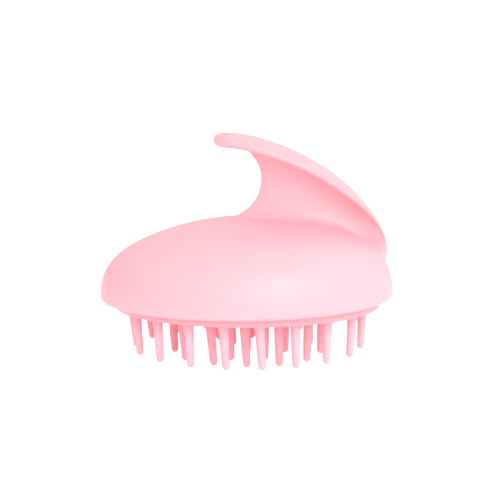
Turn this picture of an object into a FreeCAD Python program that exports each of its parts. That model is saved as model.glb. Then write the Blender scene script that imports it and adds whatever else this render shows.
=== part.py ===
import FreeCAD, Part
import math
import os

import Sketcher

# Scalp massager brush: an elliptical dome with a hook-shaped handle, over a silicone pad with bristles.
# Millimetres. X runs along the brush towards the tail, where the hook leaves the dome, Y is its width,
# Z is up. The origin is under the middle of the dome, on the plane that the inner bristle tips stand on.

DIMENSIONS = {
    # dome
    "dome_length": 88.8,
    "dome_width": 65.0,
    "dome_rise": 23.2,
    "widest_height": 19.1,
    "lip_height": 17.65,
    "lip_inset": 2.0,
    "rim_tilt": 0.55,
    "bore_length": 82.6,
    "bore_width": 58.8,
    "bore_rise": 20.8,
    "bore_start": 2.0,
    # hook plate, measured along and across the back of the hook
    "plate_half_width": 13.7,
    "plate_thickness": 3.4,
    "edge_round": 1.5,
    "nose_round": 1.95,
    "plate_crown": 0.7,
    # cover strip in the back of the hook
    "cover_border": 2.4,
    "cover_seam": 0.4,
    "cover_thickness": 1.3,
    "bond_line": 0.02,
    # silicone pad
    "pad_length": 81.8,
    "pad_width": 56.8,
    "pad_bottom": 14.75,
    "pad_floor": 2.4,
    "pad_wall": 1.3,
    "pad_lip": 1.2,
    "pad_lip_reach": 3.0,
    "pad_round": 2.0,
    # bristles
    "bristle_root_radius": 1.5,
    "bristle_tip_radius": 1.1,
    "bristle_flare": 0.8,
    "outer_tip_lift": 1.5,
    # base plate and its fixings
    "base_thickness": 2.0,
    "base_clearance": 0.1,
    "boss_x": 25.0,
    "boss_y": 12.5,
    "boss_radius": 2.8,
    "boss_rise": 16.0,
    "screw_radius": 1.15,
    "screw_length": 8.0,
    "screw_head_radius": 2.1,
    "screw_head_rise": 1.1,
    "screw_clearance": 0.05,
    "recess_width": 0.5,
    "recess_length": 2.4,
    "recess_depth": 0.6,
}

# Back of the hook, seen from the side: one cubic curve from the tail on the dome to the tip (x, z).
BACK_CURVE = ((42.5, 29.6), (44.0, 50.5), (5.7, 69.5), (-10.2, 67.0))

# Rings of the web between dome and plate: nose x, share of the way up, half width, fullness to the tail.
WEB_RINGS = (
    (-2.3, 0.045, 5.7, 0.20),
    (0.7, 0.14, 4.9, 0.28),
    (3.2, 0.30, 4.4, 0.34),
    (4.3, 0.54, 4.3, 0.38),
    (3.1, 0.77, 4.7, 0.40),
    (0.2, 0.93, 5.8, 0.36),
    (-2.0, 0.985, 6.8, 0.34),
)

# Bristle rings: half length, half width, count, shift along the ring, and whether the tips stand clear
# of the ground plane.
BRISTLE_RINGS = (
    (35.2, 24.2, 18, -1.5, True),
    (22.9, 16.4, 12, -0.8, False),
    (11.8, 9.2, 6, 0.0, False),
    (0.0, 0.0, 1, 0.0, False),
)

# Shape of the dome: how much it flattens on top, and swells at its shoulders and towards the tail.
TOP_FLATNESS = 0.12
SHOULDER_FULLNESS = 0.26
TAIL_FULLNESS = 0.54

# Outline of the leaf-shaped plate, and how much it thins towards the tail.
PLATE_HALF_LENGTH = 37.0
NOSE_BLUNTNESS = 0.9
LEAST_WIDTH = 0.5
TAIL_SHARPNESS = 1.6
TAIL_THINNING = 0.8
WEB_NOSE_SHARE = 0.86
WIDEST_SHARE = 0.68

# Outline of the cover strip: where it starts and ends along the back of the hook, and its ends.
COVER_SHARES = (0.08, 0.934)
COVER_BLUNTNESS = 0.9
COVER_SHARPNESS = 0.6

# Foot of the web on the dome.
TAIL_X = 42.7
FOOT_NOSE_X = -3.5
FOOT_HALF_WIDTH = 6.7
FOOT_SHARPNESS = 1.2
FOOT_FULLNESS = 0.1

# The web runs out into the plate's edge from this share of the way to the tail, over this span.
FLARE_START = 0.6
FLARE_SPAN = 0.35

# The nose of the hook is rounded over a zone that grows with this power of the way from the tail.
NOSE_POWER = 6

# Lip of the shell: shares of its inset and of the rise from the lip to the widest line.
LIP_PROFILE = ((1.0, 0.0), (0.4, 0.2), (0.05, 0.65), (0.0, 1.0))

# Underside of the plate: how far out from the web at the tail, then shares of the edge rounding and of
# the wall left out, and shares of the nose rounding for the inset and the depth at the nose.
UNDER_PROFILE = (
    (0.2, 2.0, 0.0, 2.0, 2.0),
    (0.4, 1.0, 0.0, 1.0, 2.0),
    (0.6, 0.45, 0.12, 0.5, 1.87),
    (0.8, 0.1, 0.4, 0.13, 1.5),
)

# Upper corner of the plate: inset and depth below the crown, then shares of the nose rounding.
CORNER_PROFILE = ((0.05, 0.42, 0.13, 0.5), (0.42, 0.04, 0.5, 0.13))
BORDER_INSET = 1.0
BORDER_NOSE_DEPTH = 0.02

# Crown of the plate: shares of the cover's width and length, and of the crown's depth.
CROWN_PROFILE = ((0.55, 0.86, 0.3), (0.0, 0.78, 0.0))

COLUMNS = 24
DOME_RINGS = 10
DOME_RING_GROWTH = 1.35
FINE = 1e-5

doc = FreeCAD.newDocument("scalp_brush")


# ---------------------------------------------------------------- driving dimensions

def make_sheet():
    """Puts every driving dimension in a named cell of one sheet."""
    sheet = doc.addObject("Spreadsheet::Sheet", "dims")
    for row, (alias, value) in enumerate(DIMENSIONS.items(), start=1):
        sheet.set("A%d" % row, alias)
        sheet.set("B%d" % row, str(value))
        sheet.setAlias("B%d" % row, alias)
    doc.recompute()
    return sheet


sheet = make_sheet()


def dim(alias):
    """Value of one cell of the sheet."""
    return float(getattr(sheet, alias))


# ---------------------------------------------------------------- curves of the hook

def back_point(share):
    """Point on the back of the hook, share 0 at the tail and 1 at the tip, and the inward normal."""
    p0, p1, p2, p3 = (FreeCAD.Vector(x, 0.0, z) for x, z in BACK_CURVE)
    rest = 1.0 - share
    point = p0 * rest ** 3 + p1 * (3 * rest ** 2 * share) + p2 * (3 * rest * share ** 2) + p3 * share ** 3
    along = (p1 - p0) * rest ** 2 + (p2 - p1) * (2 * rest * share) + (p3 - p2) * share ** 2
    speed = 3.0 * along.Length
    along.normalize()
    inward = FreeCAD.Vector(-along.z, 0.0, along.x)
    return point, inward, speed


def tail_share(angle):
    """1 at the tail, 0 at the nose."""
    return (1.0 + math.cos(angle)) / 2.0


def plate_half_width(angle):
    """Half width of the leaf-shaped plate: blunt at the nose, drawn out to a point at the tail."""
    power = NOSE_BLUNTNESS + TAIL_SHARPNESS * tail_share(angle) ** 3
    return dim("plate_half_width") * max(math.sin(angle), 0.0) ** power


def thinning(angle):
    """Share of the plate's full thickness: it thins towards the tail."""
    return 1.0 - TAIL_THINNING * tail_share(angle) ** 1.5


def plate_point(angle, inset, depth):
    """Point on the plate's edge outline, moved inwards by inset and down by depth."""
    share = 1.0 - tail_share(angle)
    half_width = plate_half_width(angle)
    across = PLATE_HALF_LENGTH * math.sin(angle)
    along = dim("plate_half_width") * math.cos(angle)
    slant = math.hypot(across, along)
    share += inset * along / slant / back_point(share)[2]
    half_width = max(half_width - inset * across / slant, LEAST_WIDTH * half_width)
    point, inward, speed = back_point(share)
    return point + inward * (depth * thinning(angle)) + FreeCAD.Vector(0.0, -half_width, 0.0)


def dome_height(x, y):
    """Height of the dome's outside over a point of its plan: an ellipsoid, fuller towards the tail."""
    half_length = dim("dome_length") / 2.0
    out = math.hypot(x / half_length, y / (dim("dome_width") / 2.0))
    if out == 0.0:
        return dim("widest_height") + dim("dome_rise")
    towards_tail = ((1.0 + x / half_length / out) / 2.0) ** 2
    swell = 1.0 + (TAIL_FULLNESS * towards_tail - TOP_FLATNESS) * out ** 2
    swell += SHOULDER_FULLNESS * (1.0 - towards_tail) * out ** 5
    return dim("widest_height") + dim("dome_rise") * swell * math.sqrt(max(1.0 - out ** 2, 0.0))


# ---------------------------------------------------------------- rings of the shell's outside

def angles():
    """Angle of each point of a half ring, from the tail round the near side to the nose."""
    return [math.pi * column / COLUMNS for column in range(COLUMNS + 1)]


def rim_ring(inset, height):
    """Half ring round the shell's rim, which rises a little towards the tail."""
    half_length = dim("dome_length") / 2.0
    half_width = dim("dome_width") / 2.0
    ring = []
    for angle in angles():
        x = (half_length - inset) * math.cos(angle)
        y = -(half_width - inset) * math.sin(angle)
        ring.append(FreeCAD.Vector(x, y, height + dim("rim_tilt") * x / half_length))
    return ring


def foot_plan(angle):
    """Plan of the web's foot on the dome: an egg, fuller at the tail."""
    middle = (TAIL_X + FOOT_NOSE_X) / 2.0
    reach = (TAIL_X - FOOT_NOSE_X) / 2.0
    x = middle + reach * math.cos(angle)
    y = -FOOT_HALF_WIDTH * max(math.sin(angle), 0.0) ** FOOT_SHARPNESS * (1.0 + FOOT_FULLNESS * math.cos(angle))
    return x, y


def dome_ring(share):
    """Half ring on the dome, share 0 at its widest and 1 at the foot of the web."""
    blend = 1.0 - math.cos(math.pi / 2.0 * share)
    ring = []
    for angle in angles():
        foot_x, foot_y = foot_plan(angle)
        rim_x = dim("dome_length") / 2.0 * math.cos(angle)
        rim_y = -dim("dome_width") / 2.0 * math.sin(angle)
        x = rim_x + (foot_x - rim_x) * blend
        y = rim_y + (foot_y - rim_y) * blend
        ring.append(FreeCAD.Vector(x, y, dome_height(x, y)))
    return ring


def root_point(angle):
    """Where the web meets the underside of the plate, on the middle plane."""
    point, inward, speed = back_point(WEB_NOSE_SHARE * (1.0 - tail_share(angle)))
    return point + inward * (dim("plate_thickness") * thinning(angle))


def nose_share(angle):
    """1 at the nose, falling quickly to 0 along the sides."""
    return (1.0 - tail_share(angle)) ** NOSE_POWER


def tail_flare(angle):
    """0 along the web, rising to 1 at the tail, where the web runs out into the plate's edge."""
    share = min(max((tail_share(angle) - FLARE_START) / FLARE_SPAN, 0.0), 1.0)
    return share * share * (3.0 - 2.0 * share)


def web_ring(nose_x, rise, half_width, fullness):
    """Half ring round the web, part of the way up from the dome to the plate."""
    nose_straight_x = FOOT_NOSE_X + (root_point(math.pi).x - FOOT_NOSE_X) * rise
    ring = []
    for angle, edge in zip(angles(), wall_ring()):
        flare = tail_flare(angle)
        foot_x, foot_y = foot_plan(angle)
        foot_z = dome_height(foot_x, foot_y)
        root = root_point(angle)
        root += (edge - root) * flare
        x = foot_x + (root.x - foot_x) * rise
        x += (nose_x - nose_straight_x) * (1.0 - tail_share(angle)) ** 2
        waist = -half_width * math.sin(angle) * (1.0 + fullness * math.cos(angle))
        straight = foot_y + (edge.y - foot_y) * rise
        y = waist + (straight - waist) * flare
        ring.append(FreeCAD.Vector(x, y, foot_z + (root.z - foot_z) * rise))
    return ring


def plate_ring(inset, depth, nose_inset, nose_depth):
    """Half ring along the plate's edge. Its inset and depth change to others at the nose."""
    ring = []
    for angle in angles():
        nose = nose_share(angle)
        ring_inset = inset + (nose_inset - inset) * nose
        ring_depth = depth + (nose_depth - depth) * nose
        ring.append(plate_point(angle, ring_inset, ring_depth))
    return ring


def wall_ring():
    """Half ring round the widest line of the plate's side wall."""
    thickness = dim("plate_thickness")
    depth = thickness - WIDEST_SHARE * (thickness - dim("plate_crown"))
    return plate_ring(0.0, depth, 0.0, dim("nose_round"))


def plate_under_ring(reach, *sizes):
    """Half ring under the plate. At the tail it lies between the web and the plate's edge."""
    ring = []
    webs = web_ring(*WEB_RINGS[-1])
    for web, edge, point, angle in zip(webs, wall_ring(), plate_ring(*sizes), angles()):
        between = web + (edge - web) * reach
        ring.append(point + (between - point) * tail_flare(angle))
    return ring


def cover_point(angle, inset, depth, width=1.0, reach=1.0):
    """Point on the cover's own leaf outline, moved inwards by inset and down by depth, or scaled."""
    tail, nose = COVER_SHARES
    share = (tail + nose) / 2.0 - (nose - tail) / 2.0 * reach * math.cos(angle)
    power = COVER_BLUNTNESS + COVER_SHARPNESS * tail_share(angle) ** 3
    full_width = dim("plate_half_width") - dim("cover_border")
    across = PLATE_HALF_LENGTH * math.sin(angle)
    along = full_width * math.cos(angle)
    slant = math.hypot(across, along)
    share += inset * along / slant / back_point(share)[2]
    half_width = full_width * max(math.sin(angle), 0.0) ** power
    half_width = max(half_width - inset * across / slant, LEAST_WIDTH * half_width) * width
    point, inward, speed = back_point(share)
    return point + inward * (depth * thinning(angle)) + FreeCAD.Vector(0.0, -half_width, 0.0)


def cover_ring(inset, depth):
    """Half ring along the cover's outline."""
    return [cover_point(angle, inset, depth) for angle in angles()]


def cover_inner_ring(width, reach, depth):
    """Half ring on a face of the cover, at a share of its width and of its length."""
    return [cover_point(angle, 0.0, depth, width, reach) for angle in angles()]


def crown_ring():
    """Half ring along the cover's outline, on the crowned back of the hook."""
    ring = []
    for angle in angles():
        crown = crown_depth(dim("cover_border")) * (1.0 - nose_share(angle))
        ring.append(cover_point(angle, 0.0, crown))
    return ring


def crown_depth(inset):
    """How far the crowned top of the plate lies below its middle line, at an inset from the edge."""
    return dim("plate_crown") * (1.0 - inset / dim("plate_half_width")) ** 2


def shell_rings():
    """All rings of the shell's outside, from the lip up over dome, web and plate to the crown line."""
    lip = dim("lip_height")
    lip_rise = dim("widest_height") - lip
    rings = [rim_ring(inset * dim("lip_inset"), lip + rise * lip_rise) for inset, rise in LIP_PROFILE]
    for step in range(DOME_RINGS):
        rings.append(dome_ring(((step + 1) / DOME_RINGS) ** DOME_RING_GROWTH))
    rings.extend(web_ring(*sizes) for sizes in WEB_RINGS)
    thick = dim("plate_thickness")
    crown = dim("plate_crown")
    edge = dim("edge_round")
    full = dim("nose_round")
    for reach, inset, left_out, nose_inset, nose_depth in UNDER_PROFILE:
        depth = thick - left_out * (thick - crown)
        rings.append(plate_under_ring(reach, inset * edge, depth, nose_inset * full, nose_depth * full))
    rings.append(wall_ring())
    for inset, below, nose_inset, nose_depth in CORNER_PROFILE:
        rings.append(plate_ring(inset, crown + below, nose_inset * full, nose_depth * full))
    rings.append(plate_ring(BORDER_INSET, crown_depth(BORDER_INSET), full, BORDER_NOSE_DEPTH))
    rings.append(crown_ring())
    rings.extend(cover_inner_ring(width, reach, depth * crown) for width, reach, depth in CROWN_PROFILE)
    return rings


# ---------------------------------------------------------------- smooth faces through rings

def mirrored(vector):
    """The same point on the other side of the middle plane."""
    return FreeCAD.Vector(vector.x, -vector.y, vector.z)


def smooth_poles(points, start_beyond, end_beyond):
    """Poles of an even cubic spline that follows the points, clamped at both ends.

    start_beyond and end_beyond give the point past each end from the end point and its neighbour."""
    first = start_beyond(points[0], points[1])
    last = end_beyond(points[-1], points[-2])
    line = [first] + points + [last]
    inner = []
    for place in range(1, len(line) - 1):
        inner.append((line[place] * 8.0 - line[place - 1] - line[place + 1]) * (1.0 / 6.0))
    before = start_beyond(inner[0], inner[1])
    after = end_beyond(inner[-1], inner[-2])
    start = [(before + inner[0] * 4.0 + inner[1]) * (1.0 / 6.0), (inner[0] * 2.0 + inner[1]) * (1.0 / 3.0)]
    end = [(inner[-1] * 2.0 + inner[-2]) * (1.0 / 3.0), (after + inner[-1] * 4.0 + inner[-2]) * (1.0 / 6.0)]
    return start + inner[1:-1] + end


def mirror_beyond(end, neighbour):
    """Past the middle plane a line goes on as its own mirror image."""
    return mirrored(neighbour)


def straight_beyond(end, neighbour):
    """Past an open edge a line goes straight on."""
    return end * 2.0 - neighbour


def skin_face(rings):
    """One smooth face over half the shell, through every ring."""
    rows = [smooth_poles(ring, mirror_beyond, mirror_beyond) for ring in rings]
    columns = []
    for place in range(len(rows[0])):
        column = [row[place] for row in rows]
        columns.append(smooth_poles(column, straight_beyond, mirror_beyond))
    spans_u = len(columns) - 3
    spans_v = len(columns[0]) - 3
    mults_u = [4] + [1] * (spans_u - 1) + [4]
    mults_v = [4] + [1] * (spans_v - 1) + [4]
    surface = Part.BSplineSurface()
    surface.buildFromPolesMultsKnots(
        columns, mults_u, mults_v, list(range(spans_u + 1)), list(range(spans_v + 1)), False, False, 3, 3)
    return surface.toShape()


def halves_to_solid(faces):
    """Closes half of a symmetric skin at the middle plane, and joins it to its mirror image."""
    skin = Part.Shell(faces)
    rim = []
    for edge in skin.Edges:
        if edge.Degenerated:
            continue
        box = edge.BoundBox
        if abs(box.YMin) < FINE and abs(box.YMax) < FINE:
            rim.append(edge)
    wire = Part.Wire(Part.sortEdges(rim)[0])
    middle = Part.Face(wire)
    shell = Part.Shell(faces + [middle])
    shell.sewShape()
    half = Part.Solid(shell)
    if half.Volume < 0:
        half.reverse()
    other = half.mirror(FreeCAD.Vector(0, 0, 0), FreeCAD.Vector(0, 1, 0))
    whole = half.fuse(other)
    return whole.removeSplitter()


def shell_skin_solid():
    """Solid body of dome, web and plate before it is hollowed."""
    face = skin_face(shell_rings())
    lip_edge = min(face.Edges, key=lambda edge: edge.BoundBox.ZMax)
    ends = [vertex.Point for vertex in lip_edge.Vertexes]
    base = Part.Face(Part.Wire([lip_edge, Part.makeLine(ends[1], ends[0])]))
    return halves_to_solid([face, base])


# ---------------------------------------------------------------- document objects

def feature(label, shape):
    """Document object that holds a free-form shape."""
    made = doc.addObject("Part::Feature", label)
    made.Label = label
    made.Shape = shape
    made.Placement = FreeCAD.Placement()
    return made


def primitive(kind, label, sizes, place=None):
    """Part primitive whose sizes follow the sheet. place is an (x, y, z) triple of expressions."""
    made = doc.addObject("Part::" + kind, label)
    made.Label = label
    for name, expression in sizes.items():
        made.setExpression(name, expression)
    if place:
        for axis, expression in zip("xyz", place):
            made.setExpression("Placement.Base." + axis, expression)
    return made


def cut(label, base, tool):
    """One object cut by another."""
    made = doc.addObject("Part::Cut", label)
    made.Label = label
    made.Base = base
    made.Tool = tool
    return made


def join(label, shapes):
    """Several objects joined into one solid."""
    made = doc.addObject("Part::MultiFuse", label)
    made.Label = label
    made.Shapes = shapes
    made.Refine = True
    return made


def ellipse_prism(label, length, width, bottom, rise):
    """Upright elliptical block; every size is an expression over the sheet."""
    outline = primitive(
        "Ellipse", label + "_outline",
        {"MajorRadius": "(%s) / 2" % length, "MinorRadius": "(%s) / 2" % width},
        ("0", "0", bottom))
    block = doc.addObject("Part::Extrusion", label)
    block.Label = label
    block.Base = outline
    block.DirMode = "Custom"
    block.Dir = FreeCAD.Vector(0, 0, 1)
    block.Solid = True
    block.setExpression("LengthFwd", rise)
    return block


# ---------------------------------------------------------------- cover strip and its recess

STRIP_AIR = 2.0


def ruled(ring_a, ring_b):
    """Face of straight lines between two smooth half rings."""
    rows = [smooth_poles(ring, mirror_beyond, mirror_beyond) for ring in (ring_a, ring_b)]
    columns = [[rows[0][place], rows[1][place]] for place in range(len(rows[0]))]
    spans = len(columns) - 3
    surface = Part.BSplineSurface()
    surface.buildFromPolesMultsKnots(
        columns, [4] + [1] * (spans - 1) + [4], [2, 2],
        list(range(spans + 1)), [0, 1], False, False, 3, 1)
    return surface.toShape()


def strip_block(seam, floor):
    """Block along the back of the hook, a seam inside its border, from a floor depth to clear air."""
    floor_edge = cover_ring(seam, floor)
    top_edge = cover_ring(seam, -STRIP_AIR)
    floor_middle = [FreeCAD.Vector(p.x, 0.0, p.z) for p in floor_edge]
    top_middle = [FreeCAD.Vector(p.x, 0.0, p.z) for p in top_edge]
    faces = [ruled(floor_middle, floor_edge), ruled(floor_edge, top_edge), ruled(top_edge, top_middle)]
    return halves_to_solid(faces)


def make_handle_cover(skin):
    """Leaf-shaped strip let into the back of the hook, flush with it."""
    block = feature("cover_block", strip_block(dim("cover_seam"), dim("cover_thickness") - dim("bond_line")))
    cover = doc.addObject("Part::MultiCommon", "handle_cover")
    cover.Label = "handle_cover"
    cover.Shapes = [skin, block]
    return cover


# ---------------------------------------------------------------- shell

BOSS_SIGNS = ((1, 1), (1, -1), (-1, 1), (-1, -1))


def make_dome_shell():
    """Hollow dome with its web and plate, the cover's recess and four screw bosses."""
    skin = feature("shell_skin", shell_skin_solid())
    bore = ellipse_prism("shell_bore", "dims.bore_length", "dims.bore_width",
                         "dims.lip_height - dims.bore_start",
                         "dims.widest_height - dims.lip_height + dims.bore_start")
    vault = primitive(
        "Ellipsoid", "shell_vault",
        {"Radius1": "dims.bore_rise", "Radius2": "dims.bore_length / 2", "Radius3": "dims.bore_width / 2",
         "Angle1": "0"},
        ("0", "0", "dims.widest_height"))
    cavity = join("shell_cavity", [bore, vault])
    hollow = cut("shell_hollow", skin, cavity)
    recessed = cut("shell_recessed", hollow, feature("cover_recess", strip_block(0.0, dim("cover_thickness"))))
    plate_top = "dims.pad_bottom + dims.pad_floor + dims.base_thickness"
    bosses = []
    for number, (side_x, side_y) in enumerate(BOSS_SIGNS, start=1):
        place = ("%d * dims.boss_x" % side_x, "%d * dims.boss_y" % side_y, plate_top)
        bosses.append(primitive("Cylinder", "boss_%d" % number,
                                {"Radius": "dims.boss_radius", "Height": "dims.boss_rise"}, place))
    posts = doc.addObject("Part::MultiFuse", "boss_posts")
    posts.Shapes = bosses
    inside = doc.addObject("Part::MultiCommon", "boss_posts_inside")
    inside.Shapes = [posts, skin]
    solid = join("shell_with_bosses", [recessed, inside])
    holes = []
    for number, (side_x, side_y) in enumerate(BOSS_SIGNS, start=1):
        place = ("%d * dims.boss_x" % side_x, "%d * dims.boss_y" % side_y, plate_top)
        holes.append(primitive("Cylinder", "boss_hole_%d" % number,
                               {"Radius": "dims.screw_radius + dims.screw_clearance",
                                "Height": "dims.screw_length"}, place))
    drilled = doc.addObject("Part::MultiFuse", "boss_holes")
    drilled.Shapes = holes
    return skin, cut("dome_shell", solid, drilled)


# ---------------------------------------------------------------- base plate and screws

def plane_of(body):
    """The body's own ground plane."""
    return [item for item in body.Origin.OriginFeatures if item.Role == "XY_Plane"][0]


def screw_pocket(body, label, rule, radius):
    """Pocket of four circles at the screws' places, cut upwards from the plate's underside."""
    circles = body.newObject("Sketcher::SketchObject", label + "_places")
    circles.AttachmentSupport = [(plane_of(body), "")]
    circles.MapMode = "FlatFace"
    for number, (side_x, side_y) in enumerate(BOSS_SIGNS):
        centre = FreeCAD.Vector(side_x * dim("boss_x"), side_y * dim("boss_y"), 0)
        circles.addGeometry(Part.Circle(centre, FreeCAD.Vector(0, 0, 1), radius), False)
        size = circles.addConstraint(Sketcher.Constraint("Radius", number, radius))
        circles.setExpression("Constraints[%d]" % size, rule)
        across = circles.addConstraint(Sketcher.Constraint("DistanceX", -1, 1, number, 3, centre.x))
        circles.setExpression("Constraints[%d]" % across, "%d * dims.boss_x" % side_x)
        along = circles.addConstraint(Sketcher.Constraint("DistanceY", -1, 1, number, 3, centre.y))
        circles.setExpression("Constraints[%d]" % along, "%d * dims.boss_y" % side_y)
    pocket = body.newObject("PartDesign::Pocket", label)
    pocket.Profile = circles
    pocket.Reversed = True
    return pocket


def make_base_plate():
    """Flat elliptical plate inside the pad, with four countersunk screw holes."""
    body = doc.addObject("PartDesign::Body", "base_plate")
    body.Label = "base_plate"
    outline = body.newObject("Sketcher::SketchObject", "plate_outline")
    outline.AttachmentSupport = [(plane_of(body), "")]
    outline.MapMode = "FlatFace"
    half_length = dim("pad_length") / 2.0 - dim("pad_wall") - dim("base_clearance")
    half_width = dim("pad_width") / 2.0 - dim("pad_wall") - dim("base_clearance")
    outline.addGeometry(Part.Ellipse(FreeCAD.Vector(0, 0, 0), half_length, half_width), False)
    outline.addConstraint(Sketcher.Constraint("Coincident", 0, 3, -1, 1))
    outline.exposeInternalGeometry(0)
    length_rule = outline.addConstraint(Sketcher.Constraint("Distance", 1, 2 * half_length))
    width_rule = outline.addConstraint(Sketcher.Constraint("Distance", 2, 2 * half_width))
    outline.addConstraint(Sketcher.Constraint("Horizontal", 1))
    slack = "2 * (dims.pad_wall + dims.base_clearance)"
    outline.setExpression("Constraints[%d]" % length_rule, "dims.pad_length - " + slack)
    outline.setExpression("Constraints[%d]" % width_rule, "dims.pad_width - " + slack)
    pad = body.newObject("PartDesign::Pad", "plate_pad")
    pad.Profile = outline
    pad.setExpression("Length", "dims.base_thickness")
    doc.recompute()
    drilled = screw_pocket(body, "screw_holes", "dims.screw_radius + dims.screw_clearance",
                         dim("screw_radius") + dim("screw_clearance"))
    drilled.Type = "ThroughAll"
    doc.recompute()
    sunk = screw_pocket(body, "screw_sinks", "dims.screw_head_radius + 2 * dims.screw_clearance",
                      dim("screw_head_radius") + 2 * dim("screw_clearance"))
    sunk.setExpression("Length", "dims.screw_head_rise")
    doc.recompute()
    body.Tip = sunk
    body.setExpression("Placement.Base.z", "dims.pad_bottom + dims.pad_floor")
    return body


def make_base_screws():
    """Four self-tapping screws, heads sunk in the plate, with a cross recess in each head."""
    seat = "dims.pad_bottom + dims.pad_floor"
    screws = []
    for number, (side_x, side_y) in enumerate(BOSS_SIGNS, start=1):
        x = "%d * dims.boss_x" % side_x
        y = "%d * dims.boss_y" % side_y
        head = primitive("Cylinder", "screw_head_%d" % number,
                         {"Radius": "dims.screw_head_radius", "Height": "dims.screw_head_rise"}, (x, y, seat))
        shank = primitive("Cylinder", "screw_shank_%d" % number,
                          {"Radius": "dims.screw_radius", "Height": "dims.screw_length - 1"}, (x, y, seat))
        tip = primitive("Cone", "screw_point_%d" % number,
                        {"Radius1": "dims.screw_radius", "Radius2": "dims.screw_radius / 3", "Height": "1"},
                        (x, y, seat + " + dims.screw_length - 1"))
        blank = join("screw_blank_%d" % number, [head, shank, tip])
        slot_x = primitive("Box", "slot_x_%d" % number,
                           {"Length": "dims.recess_length", "Width": "dims.recess_width",
                            "Height": "dims.recess_depth"},
                           (x + " - dims.recess_length / 2", y + " - dims.recess_width / 2", seat))
        slot_y = primitive("Box", "slot_y_%d" % number,
                           {"Length": "dims.recess_width", "Width": "dims.recess_length",
                            "Height": "dims.recess_depth"},
                           (x + " - dims.recess_width / 2", y + " - dims.recess_length / 2", seat))
        cross = doc.addObject("Part::MultiFuse", "cross_%d" % number)
        cross.Shapes = [slot_x, slot_y]
        screws.append(cut("screw_%d" % number, blank, cross))
    group = doc.addObject("Part::Compound", "base_screws")
    group.Label = "base_screws"
    group.Links = screws
    return group


# ---------------------------------------------------------------- silicone pad with its bristles

ELLIPSE_STEPS = 3600
BRISTLE_SUNK = 0.5


def even_angles(half_length, half_width, count, shift):
    """Angles that space points evenly along an ellipse, all moved along it by shift."""
    if count == 1:
        return [0.0]
    turn = 2 * math.pi / ELLIPSE_STEPS
    spans = []
    for step in range(ELLIPSE_STEPS):
        angle = turn * (step + 0.5)
        spans.append(math.hypot(half_length * math.sin(angle), half_width * math.cos(angle)) * turn)
    around = sum(spans)
    angles = []
    for number in range(count):
        left = (around * number / count + shift) % around
        step = 0
        while left > spans[step]:
            left -= spans[step]
            step += 1
        angles.append(turn * (step + left / spans[step]))
    return angles


def bristle_solid(length):
    """One bristle hanging from the origin: flared root, slow taper, round tip."""
    root = dim("bristle_root_radius")
    tip = dim("bristle_tip_radius")
    flare = dim("bristle_flare")
    points = [
        FreeCAD.Vector(0, 0, BRISTLE_SUNK),
        FreeCAD.Vector(root + flare, 0, BRISTLE_SUNK),
        FreeCAD.Vector(root + flare, 0, 0),
        FreeCAD.Vector(root, 0, -1.5 * flare),
        FreeCAD.Vector(tip, 0, tip - length),
    ]
    edges = [Part.makeLine(points[0], points[1]), Part.makeLine(points[1], points[2])]
    bulge = FreeCAD.Vector(root + 0.25 * flare, 0, -0.6 * flare)
    edges.append(Part.Arc(points[2], bulge, points[3]).toShape())
    edges.append(Part.makeLine(points[3], points[4]))
    half = math.sqrt(0.5)
    around = FreeCAD.Vector(half * tip, 0, tip - length - half * tip)
    bottom = FreeCAD.Vector(0, 0, -length)
    edges.append(Part.Arc(points[4], around, bottom).toShape())
    edges.append(Part.makeLine(bottom, points[0]))
    face = Part.Face(Part.Wire(edges))
    return face.revolve(FreeCAD.Vector(0, 0, 0), FreeCAD.Vector(0, 0, 1), 360)


def bristle_lean(x, y, number):
    """Lean of one bristle in degrees, along X and along Y: inwards at the ends, with small differences."""
    reach = BRISTLE_RINGS[0][0]
    lean_x = 2.2 - 3.6 * x / reach + 1.8 * math.sin(7.3 * number)
    lean_y = -1.5 * y / reach + 1.3 * math.cos(5.1 * number)
    return lean_x, lean_y


def make_bristles():
    """Every bristle, placed ring by ring."""
    made = []
    number = 0
    for half_length, half_width, count, shift, lifted in BRISTLE_RINGS:
        tip_height = dim("outer_tip_lift") if lifted else 0.0
        for angle in even_angles(half_length, half_width, count, shift):
            x = half_length * math.cos(angle)
            y = half_width * math.sin(angle)
            lean_x, lean_y = bristle_lean(x, y, number)
            tilt = math.cos(math.radians(math.hypot(lean_x, lean_y)))
            tip = dim("bristle_tip_radius")
            length = (dim("pad_bottom") - tip_height - tip) / tilt + tip
            turn = FreeCAD.Rotation(FreeCAD.Vector(0, 1, 0), -lean_x)
            turn = FreeCAD.Rotation(FreeCAD.Vector(1, 0, 0), lean_y).multiply(turn)
            bristle = feature("bristle_%02d" % (number + 1), bristle_solid(length))
            bristle.Placement = FreeCAD.Placement(FreeCAD.Vector(x, y, dim("pad_bottom")), turn)
            made.append(bristle)
            number += 1
    return made


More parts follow.
